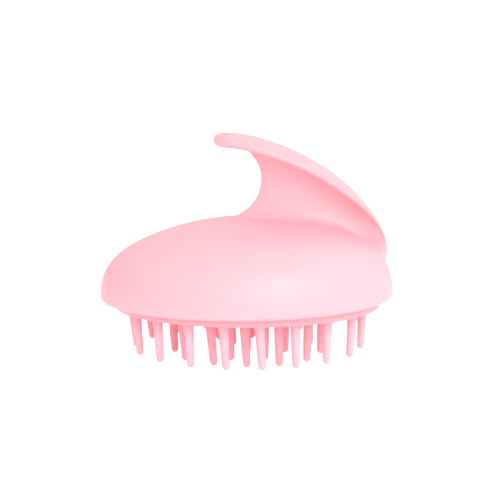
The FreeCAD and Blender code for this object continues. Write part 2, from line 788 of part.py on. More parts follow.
def make_bristle_pad():
    """Silicone moulding: a shallow tray that wraps the base plate, with all its bristles."""
    rise = "dims.pad_floor + dims.base_thickness + dims.pad_lip"
    block = ellipse_prism("pad_block", "dims.pad_length", "dims.pad_width", "dims.pad_bottom", rise)
    doc.recompute()
    rounded = doc.addObject("Part::Fillet", "pad_rounded")
    rounded.Base = block
    low = [number for number, edge in enumerate(block.Shape.Edges, start=1)
           if edge.BoundBox.ZMax < dim("pad_bottom") + 0.01]
    rounded.Edges = [(number, dim("pad_round"), dim("pad_round")) for number in low]
    seat = ellipse_prism("pad_seat", "dims.pad_length - 2 * dims.pad_wall",
                         "dims.pad_width - 2 * dims.pad_wall",
                         "dims.pad_bottom + dims.pad_floor", "dims.base_thickness")
    mouth = ellipse_prism("pad_mouth", "dims.pad_length - 2 * (dims.pad_wall + dims.pad_lip_reach)",
                          "dims.pad_width - 2 * (dims.pad_wall + dims.pad_lip_reach)",
                          "dims.pad_bottom + dims.pad_floor + dims.base_thickness", "dims.pad_lip")
    inside = doc.addObject("Part::MultiFuse", "pad_inside")
    inside.Shapes = [seat, mouth]
    tray = cut("pad_tray", rounded, inside)
    return join("bristle_pad", [tray] + make_bristles())


# ---------------------------------------------------------------- build, test and write

def check(parts):
    """Stops at any object that failed, and at any part that is empty or not valid."""
    for item in doc.Objects:
        if "Invalid" in item.State or "Error" in item.State:
            raise RuntimeError("%s failed: %s" % (item.Name, item.State))
    for part in parts:
        shape = part.Shape
        if shape.isNull() or not shape.isValid() or not shape.Solids:
            raise RuntimeError("%s has no sound solid" % part.Label)
        print("%-14s solids %2d  volume %9.1f  %s" % (
            part.Label, len(shape.Solids), shape.Volume, shape.BoundBox))


skin, dome_shell = make_dome_shell()
parts = [dome_shell, make_handle_cover(skin), make_base_plate(), make_base_screws(), make_bristle_pad()]
doc.recompute()
check(parts)
os.makedirs("parts", exist_ok=True)
for part in parts:
    part.Shape.exportStep("parts/%s.step" % part.Label)
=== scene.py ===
import math

import bmesh
import bpy
from mathutils import Matrix, Vector


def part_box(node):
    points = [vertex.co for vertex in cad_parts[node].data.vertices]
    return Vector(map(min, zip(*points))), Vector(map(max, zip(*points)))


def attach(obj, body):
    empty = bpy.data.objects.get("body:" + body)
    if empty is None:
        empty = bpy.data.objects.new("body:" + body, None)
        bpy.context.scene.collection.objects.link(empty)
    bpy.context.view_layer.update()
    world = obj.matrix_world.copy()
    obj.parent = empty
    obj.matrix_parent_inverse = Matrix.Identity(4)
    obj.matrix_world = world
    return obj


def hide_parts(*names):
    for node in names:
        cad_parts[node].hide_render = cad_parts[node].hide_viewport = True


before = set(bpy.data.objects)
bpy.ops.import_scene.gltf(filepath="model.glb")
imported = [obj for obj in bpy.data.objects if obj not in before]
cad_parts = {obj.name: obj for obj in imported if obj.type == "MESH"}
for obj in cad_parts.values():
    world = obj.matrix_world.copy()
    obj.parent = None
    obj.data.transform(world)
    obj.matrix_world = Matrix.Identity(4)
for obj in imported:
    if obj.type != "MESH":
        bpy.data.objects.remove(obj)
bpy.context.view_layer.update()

# Scalp massager brush: satin ABS shell with a hook handle and its inlaid cover, over a silicone pad with
# bristles. Sizes below are millimetres and become metres in mm(). X runs towards the tail, Z is up.

MM = 0.001


def mm(value):
    """Millimetres to metres."""
    return value * MM


# ---------------------------------------------------------------- sizes, the same as the frame's

def node_heights(node):
    """Bottom and top of a frame node, in millimetres."""
    low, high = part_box(node)
    return low.z / MM, high.z / MM


PLATE_BOTTOM, PLATE_TOP = node_heights("base_plate")
PAD_TOP = node_heights("bristle_pad")[1]

HALF_LENGTH = 44.4
HALF_WIDTH = 32.5
WIDEST_HEIGHT = 19.1
DOME_RISE = 23.2
TOP_FLATNESS = 0.12
SHOULDER_FULLNESS = 0.26
TAIL_FULLNESS = 0.54
LIP_INSET = 2.0
LIP_MIDDLE = 17.65
RIM_TILT = 0.55
BORE_HALF_LENGTH = 41.3
BORE_HALF_WIDTH = 29.4
BORE_RISE = 20.8

PLATE_HALF_WIDTH = 13.7
PLATE_HALF_LENGTH = 37.0
PLATE_THICKNESS = 3.4
EDGE_ROUND = 1.5
NOSE_ROUND = 1.95
PLATE_CROWN = 0.7
TAIL_THINNING = 0.8
THINNING_POWER = 1.5
NOSE_BLUNTNESS = 0.9
LEAST_WIDTH = 0.5
TAIL_SHARPNESS = 1.6
WEB_NOSE_SHARE = 0.86
WIDEST_SHARE = 0.68

COVER_BORDER = 2.4
COVER_SHARES = (0.08, 0.934)
COVER_BLUNTNESS = 0.9
COVER_SHARPNESS = 0.6
COVER_SEAM = 0.4
COVER_THICKNESS = 1.3

PAD_HALF_LENGTH = 40.9
PAD_HALF_WIDTH = 28.4
PAD_BOTTOM = 14.75
PAD_WALL = 1.3
PAD_LIP_REACH = 3.0
PAD_ROUND = 2.0
PAD_INNER_ROUND = 0.3
PAD_TOP_ROUND = 0.4
TRAY_CORNER = 0.2

BRISTLE_ROOT = 1.5
BRISTLE_TIP = 1.1
BRISTLE_FLARE = 0.8
OUTER_TIP_LIFT = 1.5
# The sides are drawn a little wide, because smoothing pulls a ring of 16 points in.
BRISTLE_SWELL = 1.013
BRISTLE_SIDES = 16
BRISTLE_SUNK = 0.4
BRISTLE_EASE = 0.02
SIDE_PAST_TIP_CENTRE = 0.4
# Shares of the flare outwards and downwards, and of the tip's radius outwards and upwards.
FLARE_PROFILE = ((0.45, 0.2), (0.1, 0.8))
TIP_PROFILE = ((0.98, 0.75), (0.8, 0.36), (0.45, 0.08), (0.15, 0.0))
# Lean in degrees, along X and along Y: steady part, share of the way out, and how much single ones differ.
LEAN_ALONG = (2.2, -3.6, 1.8)
LEAN_ACROSS = (0.0, -1.5, 1.3)
# Steps, in radians, that keep neighbouring bristles from leaning alike.
LEAN_STEPS = (7.3, 5.1)

TAIL_X = 42.7
FOOT_NOSE_X = -3.5
FOOT_HALF_WIDTH = 6.7
FOOT_SHARPNESS = 1.2
FOOT_FULLNESS = 0.1
DOME_RINGS = 10
DOME_RING_GROWTH = 1.35
HALF_COLUMNS = 24
ELLIPSE_STEPS = 3600
MERGE_DISTANCE = 0.001
SKIN_SMOOTHING = 2
BRISTLE_SMOOTHING = 1

# The web runs out into the plate's edge from this share of the way to the tail, over this span.
FLARE_START = 0.6
FLARE_SPAN = 0.35

# The nose of the hook has its own rounding. The higher this power, the closer to the nose it sets in.
NOSE_POWER = 6

# Back of the hook, seen from the side: one cubic curve from the tail on the dome to the tip (x, z).
BACK_CURVE = ((42.5, 29.6), (44.0, 50.5), (5.7, 69.5), (-10.2, 67.0))

# Rings of the web between dome and plate: nose x, share of the way up, half width, fullness to the tail.
WEB_RINGS = (
    (-2.3, 0.045, 5.7, 0.20),
    (0.7, 0.14, 4.9, 0.28),
    (3.2, 0.30, 4.4, 0.34),
    (4.3, 0.54, 4.3, 0.38),
    (3.1, 0.77, 4.7, 0.40),
    (0.2, 0.93, 5.8, 0.36),
    (-2.0, 0.985, 6.8, 0.34),
)

# Lip of the shell: shares of its inset and of the rise from the lip to the widest line.
LIP_PROFILE = ((1.0, 0.0), (0.4, 0.2), (0.05, 0.65), (0.0, 1.0))

# Inside of the shell: degrees up its domed ceiling, then inset and height over the lip at the lip's root.
CEILING_DEGREES = (88, 78, 64, 50, 36, 22, 10, 0)
INNER_LIP_PROFILE = ((0.0, 0.3), (-0.2, 0.02))

# Underside of the plate: how far out from the web at the tail, then shares of the edge rounding and of
# the wall left out, and shares of the nose rounding for the inset and the depth at the nose.
UNDER_PROFILE = (
    (0.2, 2.0, 0.0, 2.0, 2.0),
    (0.4, 1.0, 0.0, 1.0, 2.0),
    (0.6, 0.45, 0.12, 0.5, 1.87),
    (0.8, 0.1, 0.4, 0.13, 1.5),
)

# Upper corner of the plate, with its fine groove: inset and depth below the crown, then shares of the
# nose rounding.
CORNER_PROFILE = (
    (0.03, 0.50, 0.13, 0.5),
    (0.40, 0.40, 0.25, 0.34),
    (0.20, 0.18, 0.35, 0.24),
    (0.42, 0.04, 0.5, 0.13),
)
BORDER_INSET = 1.0
BORDER_NOSE_DEPTH = 0.02

# Rounded edge beside the seam: distance from it and depth under the crown, which fades at the nose.
SEAM_PROFILE = ((0.8, 0.0), (0.3, 0.05), (0.0, 0.32))
SEAM_NOSE_FADE = 0.7

# Shares of the cover's width and length at the last rings and at the middle line of its faces.
INNER_SHARES = (0.55, 0.86)
MIDDLE_SHARES = (0.0, 0.78)
COVER_UNDER_SHARES = ((0.3, 0.78), (0.6, 0.88))
COVER_CROWN_SHARE = 0.3

# Edges of the cover's underside and of the floor that it lies on, and the gap between the two faces.
COVER_EDGE_INSET = 0.2
COVER_EDGE_ROUND = 0.15
RECESS_FLOOR_INSET = 0.3
RECESS_ROUND = 0.1
RECESS_FLOOR = COVER_THICKNESS + 0.05
FACE_GAP = 0.02

# Tray of the pad: insets of the rings on its floor and on its underside, and between the side wall and
# the underside the insets and heights of its rounded lower edge.
TRAY_FLOOR_INSETS = (24.0, 12.0)
TRAY_UNDER_PROFILE = (
    (0.0, PAD_ROUND + 0.4),
    (0.05, 0.75 * PAD_ROUND),
    (0.3 * PAD_ROUND, 0.3 * PAD_ROUND),
    (0.75 * PAD_ROUND, 0.05),
    (PAD_ROUND + 0.6, 0.0),
)
TRAY_UNDER_INSETS = (10.0, 20.0, 26.0)

# Bristle rings: half length, half width, count, shift along the ring, and whether the tips stand clear
# of the ground.
BRISTLE_RINGS = (
    (35.2, 24.2, 18, -1.5, True),
    (22.9, 16.4, 12, -0.8, False),
    (11.8, 9.2, 6, 0.0, False),
    (0.0, 0.0, 1, 0.0, False),
)


# ---------------------------------------------------------------- camera, floor and light

# Camera: millimetres from the middle of the dome on the ground, and the height that it looks at.
CAMERA_PLACE = (1.0, -350.0, 100.7)
CAMERA_TARGET = (1.0, 0.0, 32.0)
CAMERA_LENS = 85.0
CAMERA_FILM = 36.0

# Room: heights between which its light grows, light at both, shares of it on the left and on the right,
# and how bright it shows behind the brush.
ROOM_HEIGHTS = (0.15, 0.9)
ROOM_LIGHT = (1.05, 1.5)
ROOM_SIDES = (0.6, 1.0)
ROOM_SHOWN = 1.3

# Floor: the glow that lights the brush, how bright it shows, and its width in metres.
FLOOR_GLOW = 0.24
FLOOR_SHOWN = 0.9
FLOOR_WIDTH = 60.0

# Soft box: place and target in metres, width in metres, power in watts and a slightly warm tint.
SOFT_BOX_PLACE = (0.30, -0.75, 0.42)
SOFT_BOX_TARGET = (0.0, 0.0, 0.04)
SOFT_BOX_WIDTH = 0.45
SOFT_BOX_POWER = 3.7
SOFT_BOX_TINT = (1.0, 1.0, 0.95)


def aim(thing, target):
    """Turns a camera or a light to face a point."""
    thing.rotation_euler = (Vector(target) - thing.location).to_track_quat("-Z", "Y").to_euler()


def make_camera():
    """Camera a little above the dome, square to the brush's long side."""
    data = bpy.data.cameras.new("camera")
    data.lens = CAMERA_LENS
    data.sensor_width = CAMERA_FILM
    data.dof.use_dof = False
    camera = bpy.data.objects.new("camera", data)
    bpy.context.scene.collection.objects.link(camera)
    camera.location = [mm(value) for value in CAMERA_PLACE]
    aim(camera, [mm(value) for value in CAMERA_TARGET])
    bpy.context.scene.camera = camera


def make_soft_box():
    """Large square soft box in front, low and to the right."""
    data = bpy.data.lights.new("front_box", "AREA")
    data.shape = "SQUARE"
    data.size = SOFT_BOX_WIDTH
    data.energy = SOFT_BOX_POWER
    data.color = SOFT_BOX_TINT
    light = bpy.data.objects.new("front_box", data)
    bpy.context.scene.collection.objects.link(light)
    light.location = SOFT_BOX_PLACE
    aim(light, SOFT_BOX_TARGET)


def whether_seen(tree, unseen, shown):
    """Node with one value for what the camera sees and another for the light that falls on the brush."""
    seen = add_node(tree, "ShaderNodeLightPath")
    return add_node(
        tree, "ShaderNodeMapRange", inputs={"To Min": unseen, "To Max": shown},
        links=[("Value", seen, "Is Camera Ray")])


def make_room():
    """White room, brighter overhead than at the horizon and on the right than on the left."""
    world = bpy.data.worlds.new("studio")
    bpy.context.scene.world = world
    world.use_nodes = True
    tree = world.node_tree
    sky = tree.nodes["Background"]
    where = add_node(tree, "ShaderNodeTexCoord")
    height = add_node(tree, "ShaderNodeSeparateXYZ", links=[("Vector", where, "Generated")])
    rise = add_node(
        tree, "ShaderNodeMapRange",
        inputs={"From Min": ROOM_HEIGHTS[0], "From Max": ROOM_HEIGHTS[1],
                "To Min": ROOM_LIGHT[0], "To Max": ROOM_LIGHT[1]},
        links=[("Value", height, "Z")])
    side = add_node(
        tree, "ShaderNodeMapRange",
        inputs={"From Min": -1.0, "From Max": 1.0,
                "To Min": ROOM_SIDES[0], "To Max": ROOM_SIDES[1]},
        links=[("Value", height, "X")])
    strength = add_node(tree, "ShaderNodeMath", settings={"operation": "MULTIPLY"})
    tree.links.new(rise.outputs["Result"], strength.inputs[0])
    tree.links.new(side.outputs["Result"], strength.inputs[1])
    # the room behind the brush shows as plain white, whatever it lights
    plain = whether_seen(tree, 0.0, ROOM_SHOWN)
    shown = add_node(tree, "ShaderNodeMath", settings={"operation": "MAXIMUM"})
    tree.links.new(strength.outputs["Value"], shown.inputs[0])
    tree.links.new(plain.outputs["Result"], shown.inputs[1])
    tree.links.new(shown.outputs["Value"], sky.inputs["Strength"])
    sky.inputs["Color"].default_value = (1.0, 1.0, 1.0, 1.0)


def make_floor():
    """Pale floor under the brush, wide enough to reach the horizon."""
    bpy.ops.object.select_all(action="DESELECT")
    bpy.ops.mesh.primitive_plane_add(size=FLOOR_WIDTH, location=(0.0, 0.0, 0.0))
    floor = bpy.context.object
    floor.name = "floor"
    floor.data.materials.append(white_floor())


# ---------------------------------------------------------------- materials

# sRGB colours. Each moulded ABS part has its tint and a slightly different one that it drifts to.
SHELL_PINKS = ("fbb3bd", "fbb0ba")
PLATE_PINKS = ("ffb0bf", "ffabbb")
# The silicone's second pink is painted light: the bristles are painted paler than the tray, against the
# shade under the pad.
SILICONE_AND_PAINTED_LIGHT_PINKS = ("fba6b3", "fcbac5")
ZINC_GREY = "b9bcc0"
PAINT_WHITE = "f7f6f6"
GLOW_WHITE = "ffffff"

# Millimetres: drift of the ABS tint, its grain, the silicone's haze, and the length over which the tray's
# colour turns into the bristles' paler pink, which is painted light.
TINT_DRIFT = 25.0
ABS_GRAIN = 0.35
ABS_GRAIN_DEPTH = 0.02
SILICONE_HAZE = 0.6
SILICONE_HAZE_DEPTH = 0.03
PAINTED_LIGHT_FADE = 5.0

# Shader values. The last three of ABS and silicone say how much light goes under the surface, how far
# its red, green and blue spread beside each other, and how deep it goes, in millimetres.
ABS_ROUGHNESS = 0.42
ABS_IOR = 1.53
ABS_GRAIN_STRENGTH = 0.12
ABS_GRAIN_ROUGHNESS = 0.6
ABS_INNER_LIGHT = 0.25
ABS_SPREAD = (1.0, 0.45, 0.4)
ABS_DEPTH = 1.5
SILICONE_ROUGHNESS = 0.55
SILICONE_IOR = 1.41
SILICONE_HAZE_STRENGTH = 0.1
SILICONE_INNER_LIGHT = 0.5
SILICONE_SPREAD = (1.0, 0.35, 0.35)
SILICONE_DEPTH = 2.0
ZINC_ROUGHNESS = 0.38
PAINT_ROUGHNESS = 0.9


def linear(colour):
    """sRGB hex value, such as "ffb0c0", to linear red, green, blue, alpha."""
    channels = []
    for place in (0, 2, 4):
        value = int(colour[place:place + 2], 16) / 255.0
        channels.append(value / 12.92 if value <= 0.04045 else ((value + 0.055) / 1.055) ** 2.4)
    return (*channels, 1.0)


def new_material(name):
    """Empty material with its shader."""
    material = bpy.data.materials.new(name)
    material.use_nodes = True
    tree = material.node_tree
    return material, tree, tree.nodes["Principled BSDF"]


def add_node(tree, kind, settings=(), inputs=(), links=()):
    """Adds a node, sets its properties and sockets, and links (socket, node, output) triples into it."""
    node = tree.nodes.new(kind)
    for name, value in dict(settings).items():
        setattr(node, name, value)
    for name, value in dict(inputs).items():
        node.inputs[name].default_value = value
    for socket, source, output in links:
        tree.links.new(source.outputs[output], node.inputs[socket])
    return node


# The colour sockets of a Mix node, which share their names with its number sockets.
FIRST_COLOUR, SECOND_COLOUR, MIXED_COLOUR = 6, 7, 2


def mix_colours(tree, factor, output, first, second):
    """Node that goes from one colour to another with a factor from 0 to 1."""
    mix = add_node(
        tree, "ShaderNodeMix", settings={"data_type": "RGBA"}, links=[("Factor", factor, output)])
    mix.inputs[FIRST_COLOUR].default_value = linear(first)
    mix.inputs[SECOND_COLOUR].default_value = linear(second)
    return mix


def white_floor():
    """Matt white studio paint, over-lit: it shows as plain white and lights the brush from below."""
    material, tree, shader = new_material("floor_matt_white_paint")
    shader.inputs["Base Color"].default_value = linear(PAINT_WHITE)
    shader.inputs["Roughness"].default_value = PAINT_ROUGHNESS
    shader.inputs["Emission Color"].default_value = linear(GLOW_WHITE)
    glow = whether_seen(tree, FLOOR_GLOW, FLOOR_SHOWN)
    tree.links.new(glow.outputs["Result"], shader.inputs["Emission Strength"])
    return material


def satin_abs(name, colour, shade):
    """ABS injection moulding from a fine spark-eroded tool: even tint, soft broad highlights."""
    material, tree, shader = new_material(name)
    where = add_node(tree, "ShaderNodeTexCoord")
    flow = add_node(
        tree, "ShaderNodeTexNoise",
        inputs={"Scale": 1.0 / mm(TINT_DRIFT), "Detail": 2.0, "Roughness": 0.5},
        links=[("Vector", where, "Object")])
    tint = mix_colours(tree, flow, "Fac", colour, shade)
    tree.links.new(tint.outputs[MIXED_COLOUR], shader.inputs["Base Color"])
    # spark-erosion grain, about 0.12 mm, drawn at 0.35 mm so that it shows as a faint satin break-up
    grain = add_node(
        tree, "ShaderNodeTexNoise",
        inputs={"Scale": 1.0 / mm(ABS_GRAIN), "Detail": 3.0, "Roughness": ABS_GRAIN_ROUGHNESS},
        links=[("Vector", where, "Object")])
    bump = add_node(
        tree, "ShaderNodeBump",
        inputs={"Strength": ABS_GRAIN_STRENGTH, "Distance": mm(ABS_GRAIN_DEPTH)},
        links=[("Height", grain, "Fac")])
    tree.links.new(bump.outputs["Normal"], shader.inputs["Normal"])
    shader.inputs["Roughness"].default_value = ABS_ROUGHNESS
    shader.inputs["IOR"].default_value = ABS_IOR
    shader.inputs["Subsurface Weight"].default_value = ABS_INNER_LIGHT
    shader.inputs["Subsurface Radius"].default_value = ABS_SPREAD
    shader.inputs["Subsurface Scale"].default_value = mm(ABS_DEPTH)
    return material


def silicone(name, band, tip):
    """Liquid silicone rubber, moulded: matt and milky. Its bristles are painted paler than the tray, as
    painted light against the shade under the pad.
    """
    material, tree, shader = new_material(name)
    where = add_node(tree, "ShaderNodeTexCoord")
    haze = add_node(
        tree, "ShaderNodeTexNoise",
        inputs={"Scale": 1.0 / mm(SILICONE_HAZE), "Detail": 2.0},
        links=[("Vector", where, "Object")])
    bump = add_node(
        tree, "ShaderNodeBump",
        inputs={"Strength": SILICONE_HAZE_STRENGTH, "Distance": mm(SILICONE_HAZE_DEPTH)},
        links=[("Height", haze, "Fac")])
    tree.links.new(bump.outputs["Normal"], shader.inputs["Normal"])
    place = add_node(tree, "ShaderNodeSeparateXYZ", links=[("Vector", where, "Object")])
    # painted light: below the pad's underside the bristles turn to the paler pink
    painted_light_share = add_node(
        tree, "ShaderNodeMapRange",
        inputs={"From Min": mm(PAD_BOTTOM), "From Max": mm(PAD_BOTTOM - PAINTED_LIGHT_FADE)},
        links=[("Value", place, "Z")])
    shade = mix_colours(tree, painted_light_share, "Result", band, tip)
    tree.links.new(shade.outputs[MIXED_COLOUR], shader.inputs["Base Color"])
    shader.inputs["Roughness"].default_value = SILICONE_ROUGHNESS
    shader.inputs["IOR"].default_value = SILICONE_IOR
    shader.inputs["Subsurface Weight"].default_value = SILICONE_INNER_LIGHT
    shader.inputs["Subsurface Radius"].default_value = SILICONE_SPREAD
    shader.inputs["Subsurface Scale"].default_value = mm(SILICONE_DEPTH)
    return material


def zinc_steel():
    """Zinc-plated steel screw: grey, fairly rough metal."""
    material, _, shader = new_material("screw_zinc_plated_steel")
    shader.inputs["Base Color"].default_value = linear(ZINC_GREY)
    shader.inputs["Metallic"].default_value = 1.0
    shader.inputs["Roughness"].default_value = ZINC_ROUGHNESS
    return material


# ---------------------------------------------------------------- curves of the hook and dome

def back_point(share):
    """Point on the back of the hook, share 0 at the tail and 1 at the tip, inward normal and speed."""
    p0, p1, p2, p3 = (Vector((x, 0.0, z)) for x, z in BACK_CURVE)
    rest = 1.0 - share
    point = p0 * rest ** 3 + p1 * (3 * rest ** 2 * share) + p2 * (3 * rest * share ** 2) + p3 * share ** 3
    along = (p1 - p0) * rest ** 2 + (p2 - p1) * (2 * rest * share) + (p3 - p2) * share ** 2
    speed = 3.0 * along.length
    along.normalize()
    return point, Vector((-along.z, 0.0, along.x)), speed


def tail_share(angle):
    """1 at the tail, 0 at the nose."""
    return (1.0 + math.cos(angle)) / 2.0


def plate_half_width(angle):
    """Half width of the leaf-shaped plate: blunt at the nose, drawn out to a point at the tail."""
    power = NOSE_BLUNTNESS + TAIL_SHARPNESS * tail_share(angle) ** 3
    return PLATE_HALF_WIDTH * max(math.sin(angle), 0.0) ** power


def thinning(angle):
    """Share of the plate's full thickness: it thins towards the tail."""
    return 1.0 - TAIL_THINNING * tail_share(angle) ** THINNING_POWER


def plate_point(angle, inset, depth):
    """Point on the plate's edge outline, moved inwards by inset and down by depth."""
    share = 1.0 - tail_share(angle)
    half_width = plate_half_width(angle)
    across = PLATE_HALF_LENGTH * math.sin(angle)
    along = PLATE_HALF_WIDTH * math.cos(angle)
    slant = math.hypot(across, along)
    share += inset * along / slant / back_point(share)[2]
    half_width = max(half_width - inset * across / slant, LEAST_WIDTH * half_width)
    point, inward, _ = back_point(share)
    return point + inward * (depth * thinning(angle)) + Vector((0.0, -half_width, 0.0))


def dome_height(x, y):
    """Height of the dome's outside over a point of its plan: an ellipsoid, fuller towards the tail."""
    out = math.hypot(x / HALF_LENGTH, y / HALF_WIDTH)
    if out == 0.0:
        return WIDEST_HEIGHT + DOME_RISE
    towards_tail = ((1.0 + x / HALF_LENGTH / out) / 2.0) ** 2
    swell = 1.0 + (TAIL_FULLNESS * towards_tail - TOP_FLATNESS) * out ** 2
    swell += SHOULDER_FULLNESS * (1.0 - towards_tail) * out ** 5
    return WIDEST_HEIGHT + DOME_RISE * swell * math.sqrt(max(1.0 - out ** 2, 0.0))


def angles():
    """Angle of each column of the half skin, from the tail round the near side to the nose."""
    return [math.pi * column / HALF_COLUMNS for column in range(HALF_COLUMNS + 1)]


def ellipse_ring(half_length, half_width, height):
    """Half ring of points on an ellipse."""
    return [Vector((half_length * math.cos(a), -half_width * math.sin(a), height)) for a in angles()]


def rim_ring(inset, height):
    """Ring round the shell's rim, which rises a little towards the tail."""
    return [
        point + Vector((0.0, 0.0, RIM_TILT * point.x / HALF_LENGTH))
        for point in ellipse_ring(HALF_LENGTH - inset, HALF_WIDTH - inset, height)
    ]


def foot_plan(angle):
    """Plan of the web's foot on the dome: an egg, fuller at the tail."""
    middle = (TAIL_X + FOOT_NOSE_X) / 2.0
    reach = (TAIL_X - FOOT_NOSE_X) / 2.0
    x = middle + reach * math.cos(angle)
    y = -FOOT_HALF_WIDTH * max(math.sin(angle), 0.0) ** FOOT_SHARPNESS
    return x, y * (1.0 + FOOT_FULLNESS * math.cos(angle))


def dome_ring(share):
    """Ring on the dome, share 0 at its widest and 1 at the foot of the web."""
    blend = 1.0 - math.cos(math.pi / 2.0 * share)
    ring = []
    for angle in angles():
        foot_x, foot_y = foot_plan(angle)
        rim_x = HALF_LENGTH * math.cos(angle)
        rim_y = -HALF_WIDTH * math.sin(angle)
        x = rim_x + (foot_x - rim_x) * blend
        y = rim_y + (foot_y - rim_y) * blend
        ring.append(Vector((x, y, dome_height(x, y))))
    return ring


def root_point(angle):
    """Where the web meets the underside of the plate, on the middle plane."""
    point, inward, _ = back_point(WEB_NOSE_SHARE * (1.0 - tail_share(angle)))
    return point + inward * (PLATE_THICKNESS * thinning(angle))


def nose_share(angle):
    """1 at the nose, falling quickly to 0 along the sides."""
    return (1.0 - tail_share(angle)) ** NOSE_POWER


def tail_flare(angle):
    """0 along the web, rising to 1 at the tail, where the web runs out into the plate's edge."""
    share = min(max((tail_share(angle) - FLARE_START) / FLARE_SPAN, 0.0), 1.0)
    return share * share * (3.0 - 2.0 * share)


def web_ring(nose_x, rise, half_width, fullness):
    """Ring round the web, part of the way up from the dome to the plate."""
    nose_straight_x = FOOT_NOSE_X + (root_point(math.pi).x - FOOT_NOSE_X) * rise
    ring = []
    for angle, edge in zip(angles(), wall_ring()):
        flare = tail_flare(angle)
        foot_x, foot_y = foot_plan(angle)
        foot_z = dome_height(foot_x, foot_y)
        root = root_point(angle)
        root += (edge - root) * flare
        x = foot_x + (root.x - foot_x) * rise
        x += (nose_x - nose_straight_x) * (1.0 - tail_share(angle)) ** 2
        waist = -half_width * math.sin(angle) * (1.0 + fullness * math.cos(angle))
        straight = foot_y + (edge.y - foot_y) * rise
        y = waist + (straight - waist) * flare
        ring.append(Vector((x, y, foot_z + (root.z - foot_z) * rise)))
    return ring


def plate_ring(inset, depth, nose_inset, nose_depth):
    """Ring along the plate's edge. Its inset and depth change to others at the nose."""
    ring = []
    for angle in angles():
        nose = nose_share(angle)
        here_inset = inset + (nose_inset - inset) * nose
        here_depth = depth + (nose_depth - depth) * nose
        ring.append(plate_point(angle, here_inset, here_depth))
    return ring


def wall_ring():
    """Ring round the widest line of the plate's side wall."""
    widest_depth = PLATE_THICKNESS - WIDEST_SHARE * (PLATE_THICKNESS - PLATE_CROWN)
    return plate_ring(0.0, widest_depth, 0.0, NOSE_ROUND)


def plate_under_ring(reach, *sizes):
    """Ring on the underside of the plate. At the tail it lies between the web and the plate's edge."""
    ring = []
    webs = web_ring(*WEB_RINGS[-1])
    for angle, web, edge, point in zip(angles(), webs, wall_ring(), plate_ring(*sizes)):
        between = web + (edge - web) * reach
        ring.append(point + (between - point) * tail_flare(angle))
    return ring


def cover_point(angle, inset, depth, width=1.0, reach=1.0):
    """Point on the cover's own leaf outline, moved inwards by inset and down by depth, or scaled."""
    tail, nose = COVER_SHARES
    share = (tail + nose) / 2.0 - (nose - tail) / 2.0 * reach * math.cos(angle)
    power = COVER_BLUNTNESS + COVER_SHARPNESS * tail_share(angle) ** 3
    full_width = PLATE_HALF_WIDTH - COVER_BORDER
    across = PLATE_HALF_LENGTH * math.sin(angle)
    along = full_width * math.cos(angle)
    slant = math.hypot(across, along)
    share += inset * along / slant / back_point(share)[2]
    half_width = full_width * max(math.sin(angle), 0.0) ** power
    half_width = max(half_width - inset * across / slant, LEAST_WIDTH * half_width) * width
    point, inward, _ = back_point(share)
    return point + inward * (depth * thinning(angle)) + Vector((0.0, -half_width, 0.0))


def cover_ring(inset, depth):
    """Ring along the cover's outline."""
    return [cover_point(angle, inset, depth) for angle in angles()]


def cover_inner_ring(shares, depth):
    """Ring on a face of the cover or of its recess, at a share of its width and of its length."""
    return [cover_point(angle, 0.0, depth, *shares) for angle in angles()]


def crown_ring(inset, depth):
    """Ring along the cover's outline, at a depth under the crowned back of the hook."""
    ring = []
    for angle in angles():
        nose = nose_share(angle)
        crown = crown_depth(COVER_BORDER + inset) * (1.0 - nose)
        ring.append(cover_point(angle, inset, crown + depth * (1.0 - SEAM_NOSE_FADE * nose)))
    return ring


def crown_depth(inset):
    """How far the crowned top of the plate lies below its middle line, at an inset from the edge."""
    return PLATE_CROWN * (1.0 - inset / PLATE_HALF_WIDTH) ** 2


# ---------------------------------------------------------------- skins from rings

def eased(before, point, after):
    """Control point whose subdivided surface passes through the point."""
    along = (after - before).normalized()
    bend = before + after - point * 2.0
    bend -= along * bend.dot(along)
    return point - bend / 6.0


def mirrored(point):
    """The same point on the other side of the middle plane."""
    return Vector((point.x, -point.y, point.z))


def eased_rings(rings):
    """Control rings for smooth rings, eased around the ring and from ring to ring."""
    around = []
    for ring in rings:
        line = [mirrored(ring[1])] + ring + [mirrored(ring[-2])]
        around.append([eased(*line[place:place + 3]) for place in range(len(ring))])
    eased_all = [around[0]]
    for before, here, after in zip(around, around[1:], around[2:]):
        eased_all.append([eased(*three) for three in zip(before, here, after)])
    eased_all.append(around[-1])
    return eased_all


def whole_ring(half):
    """Half ring and its mirror image, as one closed ring in metres."""
    far = [mirrored(point) for point in reversed(half[1:-1])]
    return [point * MM for point in half + far]


def open_edit(piece):
    """The mesh of a piece in edit mode."""
    return bmesh.from_edit_mesh(piece.data)


def start_piece(name, ring):
    """New piece: a circle whose corners are moved to the first ring. It is left in edit mode."""
    bpy.ops.object.select_all(action="DESELECT")
    bpy.ops.mesh.primitive_circle_add(vertices=len(ring), radius=mm(HALF_WIDTH))
    piece = bpy.context.object
    piece.name = name
    bpy.ops.object.mode_set(mode="EDIT")
    net = open_edit(piece)
    column = net.verts.layers.int.new("column")
    for vertex in net.verts:
        vertex[column] = vertex.index
        vertex.co = ring[vertex.index]
    bmesh.update_edit_mesh(piece.data)
    bpy.ops.mesh.select_all(action="SELECT")
    return piece


def extrude_to(piece, ring):
    """Extrudes the open edge and moves the new edge to the next ring."""
    bpy.ops.mesh.extrude_region_move()
    net = open_edit(piece)
    column = net.verts.layers.int["column"]
    for vertex in net.verts:
        if vertex.select:
            vertex.co = ring[vertex[column]]
    bmesh.update_edit_mesh(piece.data)


def close_middle(piece, ring):
    """Closes a long oval opening along its middle line, with the ends of the line turned in."""
    half = len(ring) // 2
    line = list(ring)
    line[0] = ring[1]
    line[half] = ring[half - 1]
    for place in range(half + 1, len(ring)):
        line[place] = line[len(ring) - place]
    extrude_to(piece, line)
    bpy.ops.mesh.remove_doubles(threshold=mm(MERGE_DISTANCE))
    bpy.ops.mesh.select_all(action="SELECT")
    bpy.ops.mesh.tris_convert_to_quads()


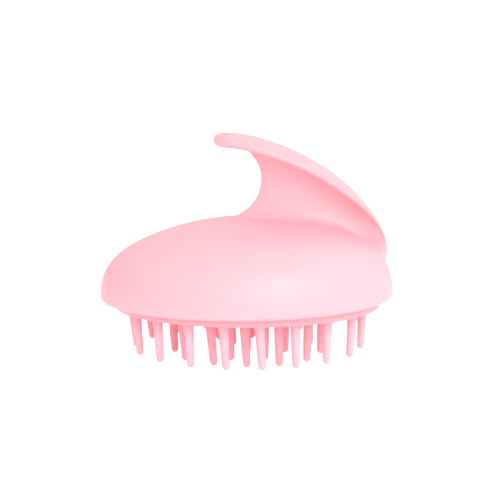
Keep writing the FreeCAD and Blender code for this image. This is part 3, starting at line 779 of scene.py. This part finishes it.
def finish_piece(piece, levels):
    """Leaves edit mode with the faces turned out, and smooths the piece."""
    bpy.ops.mesh.select_all(action="SELECT")
    bpy.ops.mesh.normals_make_consistent(inside=False)
    bpy.ops.object.mode_set(mode="OBJECT")
    bpy.ops.object.shade_smooth()
    smooth = piece.modifiers.new("smooth", "SUBSURF")
    smooth.levels = levels
    smooth.render_levels = levels
    bpy.ops.object.modifier_apply(modifier=smooth.name)
    return piece


def skin_piece(name, rings, middle=None):
    """Piece made of one skin from its first ring, closed with a cap, to its last ring or middle line."""
    control = [whole_ring(ring) for ring in eased_rings(rings + ([middle] if middle else []))]
    last = control.pop() if middle else None
    piece = start_piece(name, control[0])
    bpy.ops.mesh.edge_face_add()
    for ring in control[1:]:
        extrude_to(piece, ring)
    if middle:
        close_middle(piece, last)
    else:
        bpy.ops.mesh.edge_face_add()
    return finish_piece(piece, SKIN_SMOOTHING)


# ---------------------------------------------------------------- shell and cover

def cavity_rings():
    """Rings of the shell's inside, from the middle of its ceiling down to the lip."""
    rings = []
    for degrees in CEILING_DEGREES:
        share = math.cos(math.radians(degrees))
        height = WIDEST_HEIGHT + BORE_RISE * math.sin(math.radians(degrees))
        rings.append(ellipse_ring(BORE_HALF_LENGTH * share, BORE_HALF_WIDTH * share, height))
    bore_inset = HALF_LENGTH - BORE_HALF_LENGTH
    rings.extend(
        rim_ring(bore_inset + inset, LIP_MIDDLE + height) for inset, height in INNER_LIP_PROFILE)
    return rings


def shell_rings():
    """Rings of the shell's outside, from the lip up over dome, web and plate to the cover's recess."""
    lip_rise = WIDEST_HEIGHT - LIP_MIDDLE
    rings = [rim_ring(inset * LIP_INSET, LIP_MIDDLE + rise * lip_rise) for inset, rise in LIP_PROFILE]
    for step in range(DOME_RINGS):
        rings.append(dome_ring(((step + 1) / DOME_RINGS) ** DOME_RING_GROWTH))
    rings.extend(web_ring(*sizes) for sizes in WEB_RINGS)
    wall = PLATE_THICKNESS - PLATE_CROWN
    full = NOSE_ROUND
    for reach, inset, left_out, nose_inset, nose_depth in UNDER_PROFILE:
        depth = PLATE_THICKNESS - left_out * wall
        rings.append(
            plate_under_ring(reach, inset * EDGE_ROUND, depth, nose_inset * full, nose_depth * full))
    rings.append(wall_ring())
    for inset, below, nose_inset, nose_depth in CORNER_PROFILE:
        rings.append(plate_ring(inset, PLATE_CROWN + below, nose_inset * full, nose_depth * full))
    rings.append(plate_ring(BORDER_INSET, crown_depth(BORDER_INSET), full, BORDER_NOSE_DEPTH))
    return rings


def recess_rings():
    """Rings of the recess in the back of the hook: rounded edge, wall and floor."""
    rings = [crown_ring(-away, depth) for away, depth in SEAM_PROFILE]
    rings.append(cover_ring(0.0, COVER_THICKNESS - RECESS_ROUND))
    rings.append(cover_ring(RECESS_FLOOR_INSET, COVER_THICKNESS + FACE_GAP))
    rings.append(cover_inner_ring(INNER_SHARES, RECESS_FLOOR))
    return rings


def make_shell():
    """Dome, web and plate: one ABS moulding with a rolled lip and a recess for the cover."""
    rings = cavity_rings() + shell_rings() + recess_rings()
    piece = skin_piece("dome_shell_skin", rings, cover_inner_ring(MIDDLE_SHARES, RECESS_FLOOR))
    piece.data.materials.append(satin_abs("shell_satin_abs", *SHELL_PINKS))
    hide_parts("dome_shell")
    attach(piece, "root")


def make_cover():
    """Leaf-shaped strip let into the back of the hook."""
    rings = [cover_inner_ring(shares, COVER_THICKNESS - FACE_GAP) for shares in COVER_UNDER_SHARES]
    rings.append(cover_ring(COVER_SEAM + COVER_EDGE_INSET, COVER_THICKNESS - FACE_GAP))
    rings.append(cover_ring(COVER_SEAM, COVER_THICKNESS - COVER_EDGE_ROUND))
    rings.extend(crown_ring(COVER_SEAM + away, depth) for away, depth in reversed(SEAM_PROFILE))
    rings.append(cover_inner_ring(INNER_SHARES, COVER_CROWN_SHARE * PLATE_CROWN))
    piece = skin_piece("handle_cover_strip", rings, cover_inner_ring(MIDDLE_SHARES, 0.0))
    piece.data.materials.append(satin_abs("cover_satin_abs", *SHELL_PINKS))
    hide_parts("handle_cover")
    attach(piece, "root")


# ---------------------------------------------------------------- silicone pad with its bristles

def pad_ring(inset, height):
    """Ring round the pad, at an inset from its side wall."""
    return ellipse_ring(PAD_HALF_LENGTH - inset, PAD_HALF_WIDTH - inset, height)


def make_tray():
    """Shallow silicone tray that wraps the base plate."""
    rim = PAD_WALL + PAD_LIP_REACH
    under_plate = PLATE_BOTTOM - FACE_GAP
    over_plate = PLATE_TOP + FACE_GAP
    rings = [pad_ring(inset, under_plate) for inset in TRAY_FLOOR_INSETS]
    rings += [
        pad_ring(PAD_WALL + PAD_INNER_ROUND, under_plate),
        pad_ring(PAD_WALL, PLATE_BOTTOM + TRAY_CORNER),
        pad_ring(PAD_WALL, PLATE_TOP - TRAY_CORNER),
        pad_ring(PAD_WALL + PAD_INNER_ROUND, over_plate),
        pad_ring(rim - PAD_INNER_ROUND, over_plate),
        pad_ring(rim, PLATE_TOP + PAD_INNER_ROUND),
        pad_ring(rim, PAD_TOP - PAD_INNER_ROUND),
        pad_ring(rim - PAD_INNER_ROUND, PAD_TOP),
        pad_ring(PAD_TOP_ROUND, PAD_TOP),
        pad_ring(0.0, PAD_TOP - PAD_TOP_ROUND),
    ]
    rings += [pad_ring(inset, PAD_BOTTOM + height) for inset, height in TRAY_UNDER_PROFILE]
    rings += [pad_ring(inset, PAD_BOTTOM) for inset in TRAY_UNDER_INSETS]
    return skin_piece("bristle_pad_silicone", rings)


def bristle_ring(radius, height):
    """Ring round a bristle, hanging from the pad's underside at height 0."""
    turn = 2 * math.pi / BRISTLE_SIDES
    return [Vector((radius * math.cos(turn * n), radius * math.sin(turn * n), height)) * MM
            for n in range(BRISTLE_SIDES)]


def make_bristle(length):
    """One bristle: flared root, slow taper, round tip."""
    root = BRISTLE_ROOT * BRISTLE_SWELL
    tip = BRISTLE_TIP * BRISTLE_SWELL
    middle = (root + tip) / 2.0
    rings = [
        (root + BRISTLE_FLARE, BRISTLE_SUNK),
        (root + BRISTLE_FLARE, -BRISTLE_EASE),
    ]
    rings += [(root + out * BRISTLE_FLARE, -down * BRISTLE_FLARE) for out, down in FLARE_PROFILE]
    rings += [
        (root - BRISTLE_EASE, -2.0 * BRISTLE_FLARE),
        (middle, -0.5 * length),
        (tip + BRISTLE_EASE, tip - length - SIDE_PAST_TIP_CENTRE),
    ]
    rings += [(tip * radius, up * tip - length) for radius, up in TIP_PROFILE]
    piece = start_piece("bristle", bristle_ring(*rings[0]))
    bpy.ops.mesh.edge_face_add()
    for radius, height in rings[1:]:
        extrude_to(piece, bristle_ring(radius, height))
    bpy.ops.mesh.edge_face_add()
    return finish_piece(piece, BRISTLE_SMOOTHING)


def even_angles(half_length, half_width, count, shift):
    """Angles that space points evenly along an ellipse, all moved along it by shift."""
    if count == 1:
        return [0.0]
    turn = 2 * math.pi / ELLIPSE_STEPS
    spans = []
    for step in range(ELLIPSE_STEPS):
        angle = turn * (step + 0.5)
        spans.append(math.hypot(half_length * math.sin(angle), half_width * math.cos(angle)) * turn)
    around = sum(spans)
    found = []
    for number in range(count):
        left = (around * number / count + shift) % around
        step = 0
        while left > spans[step]:
            left -= spans[step]
            step += 1
        found.append(turn * (step + left / spans[step]))
    return found


def bristle_lean(x, y, number):
    """Lean of one bristle in degrees, along X and along Y: inwards at the ends, with small differences."""
    reach = BRISTLE_RINGS[0][0]
    steady, outwards, single = LEAN_ALONG
    lean_x = steady + outwards * x / reach + single * math.sin(LEAN_STEPS[0] * number)
    steady, outwards, single = LEAN_ACROSS
    lean_y = steady + outwards * y / reach + single * math.cos(LEAN_STEPS[1] * number)
    return lean_x, lean_y


def make_pad():
    """Silicone tray and its bristles, one moulding."""
    tray = make_tray()
    bristles = []
    number = 0
    for half_length, half_width, count, shift, lifted in BRISTLE_RINGS:
        tip_height = OUTER_TIP_LIFT if lifted else 0.0
        for angle in even_angles(half_length, half_width, count, shift):
            x = half_length * math.cos(angle)
            y = half_width * math.sin(angle)
            lean_x, lean_y = bristle_lean(x, y, number)
            tilt = math.cos(math.radians(math.hypot(lean_x, lean_y)))
            length = (PAD_BOTTOM - tip_height - BRISTLE_TIP) / tilt + BRISTLE_TIP
            bristle = make_bristle(length)
            turn = Matrix.Rotation(math.radians(-lean_x), 4, "Y")
            turn = Matrix.Rotation(math.radians(lean_y), 4, "X") @ turn
            place = Matrix.Translation(Vector((x, y, PAD_BOTTOM)) * MM)
            bristle.data.transform(place @ turn)
            bristles.append(bristle)
            number += 1
    bpy.ops.object.select_all(action="DESELECT")
    for bristle in bristles:
        bristle.select_set(True)
    tray.select_set(True)
    bpy.context.view_layer.objects.active = tray
    bpy.ops.object.join()
    tray.data.materials.append(silicone("pad_pink_silicone", *SILICONE_AND_PAINTED_LIGHT_PINKS))
    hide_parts("bristle_pad")
    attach(tray, "root")


# ---------------------------------------------------------------- carried-over frame nodes

def finish_node(node, material):
    """Gives a carried-over frame node its real material."""
    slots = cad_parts[node].data.materials
    slots.clear()
    slots.append(material)


make_camera()
make_room()
make_soft_box()
make_floor()
make_shell()
make_cover()
make_pad()
finish_node("base_plate", satin_abs("plate_satin_abs", *PLATE_PINKS))
finish_node("base_screws", zinc_steel())
bpy.context.scene.view_settings.view_transform = "Standard"
